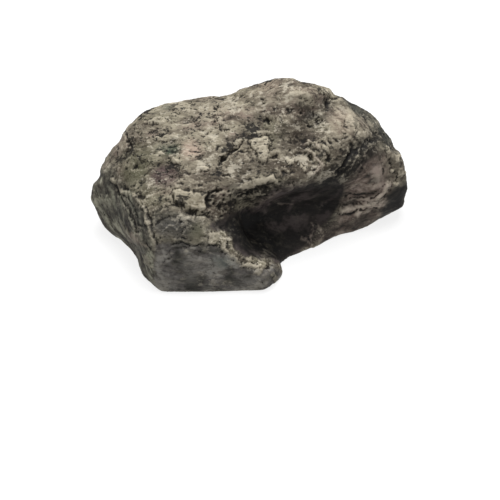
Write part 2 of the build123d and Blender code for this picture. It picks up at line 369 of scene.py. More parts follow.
# Plates: (outline, height in mm, paint, strength of the paint).
PLATE_OUTLINES = [
    ([(172, 192), (181, 190), (188, 191), (197, 193), (204, 194), (205, 200), (205, 208),
      (197, 210), (188, 209), (179, 205), (174, 200)], 1.0, "plate", 0.9),
    ([(249, 141), (257, 139), (264, 137), (270, 138), (271, 144), (267, 147), (268, 154),
      (267, 162), (264, 166), (260, 160), (257, 152), (251, 147)], 0.7, "pale", 0.9),
    ([(236, 187), (247, 181), (257, 177), (272, 175), (278, 180), (277, 183), (267, 181),
      (257, 185), (247, 189), (240, 190)], 0.65, "pale", 0.75),
]

# Flakes and hollows: (place u, v, half length and half width in pixels, turn in degrees,
# height in mm, paint, strength of the paint).
FLAKES = [
    (289, 161, 5, 2.2, -35, 0.4, "pale", 0.85), (303, 168, 4, 1.8, -25, 0.4, "pale", 0.6),
    (310, 151, 7, 1.8, -25, 0.35, "pale", 0.4), (312, 143, 7, 1.8, 5, 0.3, "pale", 0.5),
    (240, 141, 8, 3.5, 25, 0.5, "pale", 0.75), (203, 169, 4.5, 3, 0, 0.35, "pale", 0.7),
    (174, 161, 4, 3, -20, 0.45, "pale", 0.9), (162, 154, 3.5, 1.6, 0, 0.3, "pale", 0.9),
    (168, 138, 13, 3, 4, 0.3, "cream", 0.6), (157, 122, 10, 3, 12, 0.35, "cream", 0.6),
    (183, 108, 8, 5, 15, 0.25, "cream", 0.55), (220, 121, 4, 3.5, 0, 0.3, "pale", 0.5),
    (200, 109, 4, 3, 0, 0.25, "cream", 0.5), (240, 105, 6, 3, 0, 0.2, "cream", 0.4),
    (262, 134, 10, 2, 0, 0.3, "pale", 0.5), (300, 95, 15, 3, -6, 0.2, "cream", 0.45),
    (325, 92, 6, 2.5, -20, 0.3, "pale", 0.6), (319, 112, 6, 3, -15, 0.2, "pale", 0.4),
    (337, 123, 5, 2, -10, 0.2, "pale", 0.55), (352, 122, 8, 5, -30, 0.2, "pale", 0.55),
    (363, 136, 6, 5, 0, 0.35, "pale", 0.7), (372, 127, 8, 2, -55, 0.2, "cream", 0.5),
    (326, 150, 2, 6, 25, 0.3, "cream", 0.4), (214, 238, 5, 6, -38, 0.3, "pale", 0.55),
    (223, 243, 5, 3, -50, 0.3, "cream", 0.5), (250, 266, 11, 2.5, -4, 0.4, "cream", 0.6),
    (259, 272, 4, 3, 0, 0.3, "cream", 0.5), (272, 277, 2.5, 5, 0, 0.3, "cream", 0.4),
    (114, 180, 2.5, 5, 20, 0.3, "cream", 0.5), (124, 191, 5, 2, -30, 0.3, "cream", 0.5),
    (136, 195, 4, 2.5, 0, 0.3, "cream", 0.5), (148, 222, 3, 2, 0, 0.3, "pale", 0.6),
    (99, 202, 4, 5, 0, 0.2, "leaf", 0.6), (109, 200, 3, 6, 15, 0.2, "leaf", 0.6),
    (112, 222, 7, 3, -40, 0.2, "leaf", 0.4), (146, 260, 6, 3.5, -45, 0.3, "cream", 0.6),
    (152, 266, 3, 2, 0, 0.2, "cream", 0.5), (187, 251, 2.5, 2, 0, 0.2, "cream", 0.35),
    (396, 158, 3, 4, 0, 0.3, "pale", 0.8), (401, 172, 3, 4, 0, 0.3, "pale", 0.8),
    (392, 170, 2.5, 3, 0, 0.3, "pale", 0.8), (396, 184, 4, 3, 0, 0.3, "pale", 0.8),
    (387, 150, 2.5, 5, 20, 0.2, "pale", 0.8),
]
HOLLOWS = [
    (267, 120, 4.5, 2.5, 0, -1.0, "black", 0.95), (281, 120, 2.5, 3, 0, -0.6, "dark", 0.8),
    (289, 111, 4, 3, 10, -0.5, "dark", 0.7), (274, 109, 4, 2.5, 0, -0.5, "dark", 0.7),
    (249, 122, 2.4, 1.6, 0, -0.3, "dark", 0.6), (233, 110, 7, 1.8, -5, -0.4, "dark", 0.6),
    # The black hollow at 319, 122 is carved, and is also a painted shadow beside the pale block
    # above it.
    (310, 158, 7, 3.2, -45, -1.0, "black", 0.9), (319, 122, 6, 3, 20, -0.8, "black", 0.7),
    (314, 116, 9, 8, 10, -0.5, "green", 0.35), (326, 104, 4, 8, 10, -0.7, "dark", 0.85),
    (334, 98, 7, 2.2, 5, -0.7, "dark", 0.75), (227, 176, 5, 2.2, 5, -0.7, "black", 0.75),
    # The black hollow at 274, 157 is carved, and is also a painted shadow under the pale flake
    # above it.
    (170, 149, 11, 6.5, 5, -0.45, "green", 1.0), (274, 157, 5, 3, 20, -0.9, "black", 0.75),
    # The black hollow at 193, 214 is carved, and is also a painted shadow under the large plate
    # above it.
    (216, 191, 9, 2.2, 18, -0.8, "black", 0.8), (193, 214, 11, 2.4, -12, -0.6, "black", 0.8),
    (208, 199, 2.4, 8, 0, -0.8, "black", 0.7), (223, 158, 6, 2.5, 20, -0.7, "dark", 0.8),
    (219, 148, 3, 3, 0, -0.5, "dark", 0.7), (258, 189, 18, 3, 16, -0.7, "black", 0.6),
    (142, 198, 6, 4, -20, -0.5, "dark", 0.75), (134, 168, 4, 2, 0, -0.3, "dark", 0.5),
    (268, 267, 4, 5, 0, -0.6, "dark", 0.7), (262, 281, 3, 2, 0, -0.3, "dark", 0.6),
    (328, 157, 3, 7, 25, -0.7, "dark", 0.7), (344, 138, 5, 2, 0, -0.4, "dark", 0.6),
    (304, 141, 4, 2, 0, -0.4, "dark", 0.6), (287, 172, 7, 2, 0, -0.4, "dark", 0.5),
    (183, 239, 4, 1.5, 0, -0.3, "black", 0.6), (206, 215, 6, 4, 0, -0.6, "dark", 0.6),
    (180, 271, 5, 3, 0, -0.1, "dark", 0.5), (205, 271, 2, 2, 0, -0.1, "dark", 0.5),
    (390, 163, 2.5, 3, 0, -0.4, "dark", 0.6), (397, 177, 3, 2, 0, -0.4, "dark", 0.6),
    (384, 172, 2, 5, 0, -0.4, "dark", 0.5), (402, 164, 2, 3, 0, -0.4, "dark", 0.5),
    (262, 103, 2.2, 1.8, 0, -0.5, "black", 0.8), (219, 105, 2.2, 1.6, 0, -0.4, "dark", 0.8),
    (285, 85, 7, 1.4, -8, -0.3, "dark", 0.6), (301, 114, 2.5, 1.6, 0, -0.5, "black", 0.8),
    (222, 127, 2.2, 1.6, 0, -0.4, "dark", 0.8), (309, 127, 3, 2, 10, -0.7, "black", 0.9),
    (217, 168, 2.4, 1.8, 0, -0.4, "black", 0.7), (188, 173, 3, 2, -20, -0.4, "black", 0.7),
    (180, 184, 3, 1.6, 0, -0.4, "black", 0.7), (171, 178, 2.2, 1.8, 0, -0.3, "black", 0.7),
    (160, 181, 2.4, 2, 0, -0.3, "black", 0.6), (200, 184, 4, 1.5, 10, -0.4, "black", 0.7),
    (243, 163, 2, 1.6, 0, -0.3, "black", 0.7), (250, 170, 3, 1.6, 0, -0.4, "dark", 0.7),
    (257, 150, 1.6, 1.4, 0, -0.3, "dark", 0.7), (297, 164, 3, 1.8, -30, -0.5, "black", 0.7),
    (289, 151, 3, 1.8, 0, -0.4, "dark", 0.7), (371, 141, 4, 2.4, -45, -0.6, "black", 0.9),
    (367, 121, 9, 1.6, -48, -0.3, "dark", 0.7), (344, 133, 4, 2.4, -20, -0.3, "dark", 0.75),
    (336, 140, 5, 2, -20, -0.3, "dark", 0.6), (340, 173, 6, 3, 30, -0.4, "black", 0.8),
    (245, 193, 3, 2, 0, -0.4, "black", 0.8), (262, 186, 6, 1.8, 20, -0.4, "black", 0.7),
    (213, 197, 3, 2.4, 0, -0.4, "black", 0.8), (225, 200, 3, 2, 0, -0.4, "black", 0.7),
    (219, 208, 2.4, 3, 0, -0.4, "black", 0.7), (231, 195, 2, 2, 0, -0.3, "black", 0.7),
    (196, 218, 3, 2, -20, -0.4, "black", 0.6), (173, 219, 4, 1.6, -10, -0.4, "black", 0.6),
]

# Broad dips that bring the stone's outline to the photograph's, without paint.
DIPS = [
    (126, 249, 28, 10, -42, -1.8), (132, 119, 17, 9, 37, -0.7),
    (97, 176, 7, 8, 0, -0.7), (225, 97, 16, 7, 0, -0.8),
    (300, 83, 14, 6, 0, -0.5), (334, 95, 7, 6, 0, -0.8),
    (395, 146, 6, 8, 0, -0.9), (334, 240, 20, 7, 24, -0.9),
    (408, 198, 8, 9, 0, -0.8),
]

# Soft marks of paint alone, without height: stains, and some painted shade.
STAINS_AND_SHADE = [
    (192, 110, 50, 12, 4, "cream", 0.4), (262, 100, 40, 12, 12, "tan", 0.3),
    (299, 140, 26, 22, 0, "umber", 0.95), (296, 170, 36, 12, 0, "umber", 0.85),
    (338, 156, 18, 16, 0, "umber", 0.75), (325, 108, 10, 12, 10, "dark", 0.75),
    # The rim stains paint shade along the far edge, where the skin turns from the light.
    (350, 122, 16, 10, -40, "pale", 0.4), (381, 131, 27, 9, -53, "rim_shade", 0.95),
    (355, 109, 18, 5, -36, "rim_shade", 0.85), (401, 160, 12, 3, -70, "rim_shade", 0.5),
    # The smoke stains at 356, 160, at 334, 174 and at 370, 150 lie on the band between the top and
    # the bulge, and are painted shade there.
    (356, 160, 12, 19, -25, "smoke_and_shade", 0.8), (340, 122, 16, 14, -40, "pink", 0.3),
    (137, 216, 10, 26, 30, "lead", 0.7), (110, 176, 6, 12, -15, "lead", 0.7),
    (357, 220, 20, 6, 26, "smoke_and_shade", 0.75), (191, 150, 12, 10, 0, "pink", 0.8),
    (268, 86, 16, 6, 10, "pink", 0.25), (163, 177, 20, 13, 0, "purple", 0.9),
    (168, 149, 13, 9, 5, "green", 0.65), (138, 143, 12, 10, 0, "purple", 0.45),
    (168, 107, 9, 4, 12, "green", 0.6), (136, 176, 16, 15, 0, "olive", 0.6),
    (254, 128, 10, 6, 0, "cream", 0.45), (285, 98, 26, 9, 5, "cream", 0.35),
    (306, 101, 11, 6, 0, "cream", 0.6), (313, 115, 9, 5, 10, "ash", 0.45),
    # These two black stains are painted shadow on the right of the pale block and under it.
    (324, 120, 4, 5, 20, "black", 0.55), (313, 126, 9, 3, 5, "black", 0.5),
    (300, 142, 22, 18, 0, "dark", 0.25), (334, 174, 18, 9, 32, "smoke_and_shade", 0.95),
    (138, 160, 18, 24, -20, "olive", 0.6), (152, 196, 18, 14, 0, "olive", 0.5),
    (128, 140, 8, 10, 0, "umber", 0.4), (146, 127, 12, 6, 20, "umber", 0.4),
    (222, 170, 28, 13, 5, "umber", 0.6), (254, 168, 26, 10, 5, "umber", 0.55),
    (175, 226, 38, 16, -6, "slate", 0.95), (198, 232, 12, 12, -30, "olive", 0.5),
    (220, 207, 18, 13, 0, "umber", 0.9), (255, 193, 23, 9, 14, "dark", 0.8),
    (276, 195, 20, 6, 24, "lip", 0.9), (370, 150, 12, 12, 0, "smoke_and_shade", 0.9),
    (377, 172, 8, 10, 15, "haze", 0.9), (381, 186, 7, 6, 15, "haze", 0.5),
    # The wall stains paint shade on the wall under the ledge.
    (394, 165, 11, 17, -20, "tan", 0.35), (316, 226, 16, 14, 25, "wall_shade", 0.6),
    (320, 238, 26, 9, 26, "wall_shade", 0.6), (190, 266, 13, 15, 15, "ash", 0.55),
    (167, 283, 13, 7, 5, "ash", 0.5), (248, 281, 14, 8, 0, "ash", 0.4),
    (180, 258, 10, 5, 0, "lead", 0.6), (205, 284, 16, 5, 0, "lead", 0.5),
    (210, 250, 8, 3, -20, "lead", 0.6), (176, 246, 9, 2, 0, "ash", 0.5),
    (222, 262, 13, 7, -15, "teal", 0.6), (124, 210, 9, 30, 35, "lead", 0.6),
    (133, 239, 7, 7, 0, "haze", 0.4), (103, 205, 10, 12, 0, "leaf", 0.3),
]

# Crests and creases along pixel lines: (line, half width in pixels, height in mm, paint,
# strength of the paint).
LINES = [
    ([(113, 179), (122, 191), (136, 198), (144, 207), (148, 222), (154, 238), (154, 248)],
     4, 0.3, "cream", 0.15),
    ([(276, 185), (290, 187), (304, 183), (320, 178), (334, 173)], 4, 0.5, "lip", 0.4),
    ([(253, 208), (265, 201), (277, 194), (290, 186)], 5.5, 0.5, "lip", 0.9),
    ([(256, 204), (267, 197), (280, 189)], 1.8, 0.2, "haze", 0.3),
    ([(151, 219), (154, 212), (161, 208), (170, 207)], 2.0, -0.25, "black", 0.5),
    ([(156, 226), (161, 219), (169, 217)], 2.0, -0.25, "dark", 0.55),
    ([(163, 231), (170, 225), (176, 229)], 1.8, 0.2, "ash", 0.45),
    ([(180, 233), (185, 226), (193, 229)], 1.8, -0.25, "dark", 0.5),
    ([(153, 235), (158, 239), (165, 236)], 1.8, -0.25, "black", 0.5),
    ([(180, 220), (188, 217), (196, 222)], 1.8, 0.2, "ash", 0.4),
    ([(172, 241), (182, 242), (201, 242), (217, 244)], 3, 0.3, "olive", 0.2),
    ([(221, 247), (230, 255), (238, 262)], 3, 0.4, "cream", 0.35),
    ([(243, 141), (236, 148), (229, 154), (220, 162)], 2.6, -0.9, "black", 0.8),
    ([(254, 158), (247, 152), (238, 151)], 2, -0.4, "dark", 0.5),
    ([(123, 129), (128, 136), (131, 146), (128, 151)], 2.4, -0.7, "dark", 0.7),
    ([(172, 243), (190, 244), (206, 244), (219, 246)], 1.8, -0.3, "black", 0.6),
    ([(146, 208), (151, 217), (153, 232), (157, 244)], 2.2, -0.4, "dark", 0.6),
    ([(166, 255), (172, 249), (180, 247), (190, 248), (200, 252)], 1.8, -0.12, "black", 0.5),
    ([(162, 263), (170, 257), (180, 254), (190, 256)], 1.8, -0.12, "dark", 0.5),
    ([(204, 252), (211, 258), (214, 266)], 1.8, -0.1, "dark", 0.4),
    ([(341, 210), (352, 208), (363, 206), (372, 202), (380, 196), (385, 189), (388, 183)],
     4.2, 0.5, "swirl", 1.0),
    ([(356, 214), (368, 209), (384, 200)], 3.0, 0.3, "swirl", 0.8),
    ([(350, 187), (360, 184), (370, 187), (379, 185)], 2.2, 0.15, "swirl", 0.45),
    ([(345, 201), (356, 200), (368, 200)], 1.8, 0.1, "swirl", 0.45),
    ([(127, 230), (135, 238), (145, 247)], 2.2, 0.1, "pink", 0.4),
    ([(346, 195), (358, 194), (368, 195), (377, 190)], 1.8, -0.25, "black", 0.6),
    ([(350, 198), (362, 198), (373, 198), (380, 192)], 1.6, -0.2, "black", 0.45),
    ([(340, 214), (352, 213), (364, 210), (376, 206)], 1.8, -0.25, "black", 0.5),
    ([(352, 180), (358, 175), (362, 168)], 2.2, -0.2, "dark", 0.5),
    ([(360, 147), (357, 156), (352, 166)], 2.0, 0.25, "lip", 0.5),
    ([(366, 150), (362, 160), (356, 172)], 1.8, 0.2, "haze", 0.3),
    ([(303, 150), (311, 152), (318, 158), (321, 165), (318, 172), (310, 175)],
     2.2, 0.35, "haze", 0.6),
    ([(304, 143), (312, 142), (319, 147), (324, 155)], 2.0, 0.3, "haze", 0.45),
    # These two creases run along that band: they are carved, and also painted black as shade.
    ([(352, 144), (350, 154), (345, 164), (337, 172)], 3.5, -0.6, "black", 0.85),
    ([(375, 136), (366, 143), (356, 149), (349, 160), (341, 172)], 5.5, -0.3, "black", 0.8),
    ([(311, 222), (313, 232), (309, 240)], 2.0, 0.2, "haze", 0.5),
    ([(318, 224), (322, 233), (318, 242)], 1.8, 0.2, "haze", 0.45),
    ([(300, 238), (306, 243), (314, 246)], 1.8, 0.2, "haze", 0.35),
    ([(279, 204), (286, 203), (293, 204)], 1.6, 0.15, "haze", 0.4),
    ([(300, 196), (312, 190), (326, 186)], 2.6, 0.1, "lip", 0.6),
    ([(322, 204), (332, 196), (340, 190)], 2.6, 0.1, "lip", 0.5),
    ([(115, 184), (122, 198), (130, 214), (138, 232)], 2.6, -0.35, "dark", 0.6),
    ([(126, 196), (134, 210), (141, 230), (149, 250)], 2.6, -0.35, "black", 0.5),
    ([(95, 190), (100, 200), (104, 214)], 2.0, -0.25, "dark", 0.5),
    ([(106, 212), (118, 230), (132, 248)], 2.0, -0.25, "dark", 0.45),
    ([(124, 205), (131, 220), (136, 236)], 1.8, 0.25, "leaf", 0.4),
    ([(118, 216), (126, 228), (134, 242)], 1.8, 0.25, "leaf", 0.35),
]


def plate(distance):
    """A raised plate's height over a dab: level on top, with a steep edge."""
    return smooth_step(1.12, 0.8, distance)


def bowl(distance):
    """A hollow's depth over a dab: deepest in the middle, with a soft edge."""
    return smooth_step(1.25, 0.1, distance)


# An uneven edge makes the listed marks look broken off, not stamped.
BROAD_STRAY = 2.2           # pixels that an edge strays, in lumps so many mm across
BROAD_LUMP = 3.0
FINE_STRAY = 1.3
FINE_LUMP = 0.9
WORN_LUMP = 1.1             # mm across the bare flecks in a mark's paint
LEAST_PAINT = 0.3           # the share of a mark's paint that is left in such a fleck


class Painter:
    """Collects the stone's carving and paint, point by point."""

    def __init__(self, points, normals):
        self.u, self.v = photo_pixels(points)
        # How far the skin may turn from the camera: carved marks stay in sight, stains and painted
        # shade pass the edge, and dips and the cave go further.
        turned = normals @ np.array(CAMERA_BACK)
        self.facing = smooth_step(-0.05, 0.25, turned)
        self.around = smooth_step(-0.35, -0.05, turned)
        self.not_below = smooth_step(-0.55, -0.4, turned)
        self.level_place = self.u.copy(), self.v.copy()
        for seed, coordinate in ((1, self.u), (2, self.v)):
            coordinate += BROAD_STRAY * broken_noise(points, BROAD_LUMP, 2, seed=seed)
            coordinate += FINE_STRAY * broken_noise(points, FINE_LUMP, 2, seed=seed + 2)
        self.broken = smooth_step(-0.4, 0.25, broken_noise(points, WORN_LUMP, 3, seed=11))
        self.height = np.zeros(len(points))
        self.raised = np.zeros(len(points))
        self.layers = []

    def region(self, outline, soft):
        """1 inside an outline that the camera sees, with an edge that is soft pixels wide."""
        return self.facing * inside_outline(self.u, self.v, outline, soft)

    def hollow_region(self, outline, soft):
        """A region whose walls are covered also where they turn from the camera."""
        return self.not_below * inside_outline(self.u, self.v, outline, soft)

    def mark(self, weight, height, paint, strength):
        """Adds one mark: its height in mm and its paint, both by weight."""
        weight = self.facing * weight
        self.height += height * weight
        if height > 0:
            self.raised = np.maximum(self.raised, weight)
        worn = LEAST_PAINT + (1 - LEAST_PAINT) * self.broken
        self.layers.append((paint, strength * weight * worn))

    def marks(self):
        """Adds all the marks of the tables, each kind over the one before."""
        for *shape, paint, strength in STAINS_AND_SHADE:
            soft = smooth_step(1.35, 0.25, dab(self.u, self.v, *shape))
            self.layers.append((paint, strength * self.around * soft))
        for *shape, height in DIPS:
            self.height += height * self.not_below * bowl(dab(*self.level_place, *shape))
        for line, width, height, paint, strength in LINES:
            self.mark(near_line(self.u, self.v, line, width), height, paint, strength)
        for outline, height, paint, strength in PLATE_OUTLINES:
            self.mark(inside_outline(self.u, self.v, outline, 2.5), height, paint, strength)
        for *shape, height, paint, strength in FLAKES:
            self.mark(plate(dab(self.u, self.v, *shape)), height, paint, strength)
        for *shape, height, paint, strength in HOLLOWS:
            self.mark(bowl(dab(self.u, self.v, *shape)), height, paint, strength)


# ---- carving ----

WARP_LUMP = 2.8             # mm between the bends of the layers
WARP_REACH = 0.9            # mm that they bend
LAYER_LUMP = 6.0            # mm between the broken layers' edges
LAYER_DEPTH = 0.55
CRUMB_LUMP = 2.6
CRUMB_DEPTH = 0.2
GRIT_LUMP = 0.9
GRIT_DEPTH = 0.1
PIT_DEPTH = 0.45
HEART_DEPTH = 0.5           # the cave's heart lies this much deeper
SKIN_LIFT = 0.1             # these two give back what relaxing takes off the casting
BASE_LIFT = 0.7
FINE_STEPS = 4              # relaxing rounds behind the fine and the broad relief
BROAD_STEPS = 30

painter = Painter(base_points, base_normals)
lobe_face = painter.region(LOBE_FACE, 5)
left_face = painter.region(LEFT_FACE, 8)
cave = painter.hollow_region(CAVE, 5)
cave_heart = painter.hollow_region(CAVE_HEART, 12)
shelf_band = painter.region(SHELF_BAND, 8)
bulge = painter.region(BULGE, 14)
right_foot = painter.region(RIGHT_FOOT, 5)
shoulder = painter.region(SHOULDER, 14)
speckled = painter.region(SPECKLED, 6)
slate_face = painter.region(SLATE_FACE, 10)
shade_band = painter.facing * near_line(painter.u, painter.v, SHADE_BAND, 16)
painter.marks()

up_facing = smooth_step(0.35, 0.95, base_normals[:, 2])
underside = smooth_step(-0.75, -0.95, base_normals[:, 2]) * (base_points[:, 2] < 1.0)
# How rough each part is: most on the top, less on the left face and the shoulder, and hardly
# at all on the parts that the casting leaves smooth.
smooth_part = np.clip(lobe_face + cave + 0.9 * bulge + shelf_band + right_foot, 0, 1)
rough = ((0.65 + 0.35 * up_facing) * (1 - 0.85 * smooth_part) * (1 - 0.45 * left_face)
         * (1 - 0.4 * shoulder))
rough = np.maximum(rough, 0.9 * speckled)

warp = np.column_stack([wave_noise(base_points, WARP_LUMP, seed=20 + i) for i in range(3)])
warped = base_points + WARP_REACH * warp
layers = broken_noise(warped, LAYER_LUMP, 5, 1.8, seed=5)
near_base = smooth_step(10.0, 1.0, base_points[:, 2])
height = SKIN_LIFT + BASE_LIFT * near_base + rough * LAYER_DEPTH * terraces(layers, 5, 0.18)
height += rough * CRUMB_DEPTH * broken_noise(warped, CRUMB_LUMP, 4, 1.6, seed=6)
grit = broken_noise(base_points, GRIT_LUMP, 3, 2.0, seed=12)
height += (0.2 + 0.8 * rough) * GRIT_DEPTH * grit
cluster = smooth_step(0.0, 0.45, wave_noise(base_points, 7, seed=9))
pits = cluster * rough * pitting(warped, 1.5, 0.22, 1.5, seed=8)
pits = np.maximum(pits, rough * pitting(warped, 3.2, 0.1, 1.8, seed=13))
pits = np.maximum(pits, speckled * pitting(warped, 1.3, 0.4, 1.2, seed=14))
pits *= 1 - painter.raised
height -= PIT_DEPTH * pits
height -= HEART_DEPTH * cave_heart
height += painter.height
height *= 1 - underside
carved = base_points + base_normals * height[:, None]
carved[:, 2] = np.maximum(carved[:, 2], 0.0)

# Relief is 0.5 where the skin is level, more on its crests and less in its hollows.
fine = np.einsum("ij,ij->i", carved - skin.relaxed(carved, FINE_STEPS), base_normals)
broad = np.einsum("ij,ij->i", carved - skin.relaxed(carved, BROAD_STEPS), base_normals)
relief = np.clip(0.5 + 3.2 * fine + 0.6 * broad, 0, 1)

# ---- paint ----

PAINT_COLOURS = {
    "ground_top": "877e6c", "ground_side": "6b655a", "ground_left": "626056",
    "ground_lobe": "6b6763", "cave_shade": "1f1b19", "cave_heart_shade": "0b0908",
    "ground_shelf": "3a3231", "ground_bulge": "85756a", "ground_foot": "1f1d1c",
    "cream": "b9b09a", "pale": "cbc1ab", "plate": "a89e88", "tan": "9b917e", "pink": "cfb8a5",
    "olive": "6b6a52", "leaf": "bfbda7", "green": "424d3e", "rim_shade": "3d403a", "teal": "5d6660",
    "ash": "a39f97", "slate": "4b4945", "lead": "3f3e38", "lip": "5c5250", "purple": "5a4747",
    "haze": "bcab9f", "swirl": "ddcfbe", "smoke_and_shade": "2f2b26", "wall_shade": "38302d", "umber": "52483d",
    "dark": "322c26", "black": "13100d",
}
PAINTS = {name: np.array(linear(colour)) for name, colour in PAINT_COLOURS.items()}

tint = np.tile(PAINTS["ground_side"], (len(carved), 1))


def lay(paint, weight):
    """Lays a paint over the tint so far."""
    tint[:] += weight[:, None] * (PAINTS[paint] - tint)


def wash(paint, weight, pattern, low, high):
    """Lays a paint that is full where a pattern is at high and gone where it is at low."""
    lay(paint, weight * smooth_step(low, high, pattern))


# Upward faces get the paler top ground and the rest keep the darker side ground: partly the
# stone's own paint, partly painted light on the top and painted shade on the sides.
lay("ground_top", up_facing)

# Mottling of the rough parts, in pale, brown, green and purple, drawn out with the bedding.
open_rock = np.maximum(1 - smooth_part, speckled)
mottle = broken_noise(warped, 4.2, 5, 2.0, seed=31)
hue = broken_noise(base_points, 9.0, 3, 1.6, seed=32)
veins = broken_noise(warped, 1.6, 4, 3.5, seed=33)
wash("olive", 0.5 * open_rock, hue, -0.1, -0.5)
wash("purple", 0.45 * open_rock, hue, 0.15, 0.55)
wash("pink", 0.25 * open_rock, hue, 0.35, 0.6)
wash("cream", 0.6 * open_rock, mottle, 0.05, 0.5)
wash("umber", 0.75 * open_rock, mottle, -0.05, -0.5)
wash("cream", 0.35 * open_rock, veins, 0.1, 0.6)
wash("umber", 0.5 * open_rock, veins, -0.1, -0.6)

lay("ground_left", left_face * 0.8)
streaks = broken_noise(base_points, 2.7, 4, 3.2, seed=34, grain=photo_direction(-54))
wash("leaf", 0.85 * left_face, streaks, 0.08, 0.42)
wash("dark", 0.9 * left_face, streaks, 0.0, -0.4)
bristles = broken_noise(base_points, 1.3, 4, 4.5, seed=35, grain=photo_direction(-42))
wash("pale", 0.55 * shoulder, bristles, 0.0, 0.4)
wash("umber", 0.85 * shoulder, bristles, 0.0, -0.4)
lay("ground_lobe", lobe_face)
clouds = broken_noise(base_points, 5.5, 5, 1.2, seed=36)
wash("ash", 0.9 * lobe_face, clouds, 0.0, 0.4)
wash("lead", 0.9 * lobe_face, clouds, -0.05, -0.4)
lay("ground_shelf", shelf_band * 0.8)
lay("ground_bulge", bulge)
flow = broken_noise(base_points, 2.0, 4, 3.5, seed=37, grain=photo_direction(12))
wash("haze", 0.75 * bulge, flow, 0.05, 0.45)
# Here the smoke paint is the bulge's own dark streaks.
wash("smoke_and_shade", 0.85 * bulge, flow, -0.05, -0.45)
# Painted shade: the cave is laid near-black and its heart nearly black.
lay("cave_shade", cave)
wash("lip", 0.7 * cave, clouds, -0.05, 0.4)
lay("cave_heart_shade", cave_heart)
for paint, weight in painter.layers:
    lay(paint, weight)
lay("ground_foot", right_foot * 0.95)
# Painted shade along the band between the top and the bulge.
lay("black", shade_band * (0.72 + 0.25 * smooth_step(0.3, -0.3, veins)))
lay("dark", 0.7 * pits)

skin_mesh.vertices.foreach_set("co", (carved * MM).ravel())
skin_mesh.update()


def store(name, kind, values):
    """Keeps a value or a colour for each point, for the material to read."""
    layer = skin_mesh.attributes.new(name, kind, "POINT")
    key = "color" if kind == "FLOAT_COLOR" else "value"
    layer.data.foreach_set(key, values.astype(np.float32).ravel())


store("tint", "FLOAT_COLOR", np.column_stack([tint, np.ones(len(tint))]))
store("relief", "FLOAT", relief)
form = rough + 0.25 * lobe_face + 0.2 * bulge - 0.35 * slate_face
store("roughness_of_form", "FLOAT", np.clip(form, 0, 1))


def bedded(tree, place, stretch):
    """Object coordinates whose patterns are drawn out along the stone's bedding."""
    mapping = node(tree, "Mapping", [(place.outputs["Object"], "Vector")],
                   vector_type="TEXTURE", in_Rotation=(0, 0, CAMERA_AZIMUTH),
                   in_Scale=(stretch, 1, 1))
    return mapping.outputs["Vector"]


def mixed(tree, colour, other, factor, blend="MIX"):
    """Colour with other laid on by factor. Other is an output or a hex colour."""
    # The node's inputs 0, 6 and 7 are its factor and its two colours.
    links = [(colour, 6)]
    settings = {}
    if isinstance(other, str):
        settings["in_7"] = (*linear(other), 1)
    else:
        links.append((other, 7))
    if isinstance(factor, float):
        settings["in_0"] = factor
    else:
        links.append((factor, 0))
    made = node(tree, "Mix", links, data_type="RGBA", blend_type=blend, **settings)
    return made.outputs[2]


def noise_pattern(tree, place, size, detail, **settings):
    """Noise from 0 to 1, with lumps about size mm across."""
    made = node(tree, "TexNoise", [(place, "Vector")], in_Scale=1 / (size * MM),
                in_Detail=detail, **settings)
    return made.outputs["Fac"]


def ranged(tree, value, low, high, top):
    """0 below low and top above high, or the other way round where high is the lower."""
    made = node(tree, "MapRange", [(value, "Value")], in_From_Min=low,
                in_From_Max=high, in_To_Max=top, interpolation_type="SMOOTHSTEP")
    return made.outputs[0]


def finish_surface(tree, links, bump_height, strength, depth, **settings):
    """Ends a material in one opaque surface, with fine bumps depth mm high."""
    bump = node(tree, "Bump", [(bump_height, "Height")], in_Strength=strength,
                in_Distance=depth * MM)
    links = [*links, (bump.outputs[0], "Normal")]
    shader = node(tree, "BsdfPrincipled", links, **settings)
    node(tree, "OutputMaterial", [(shader.outputs[0], "Surface")])


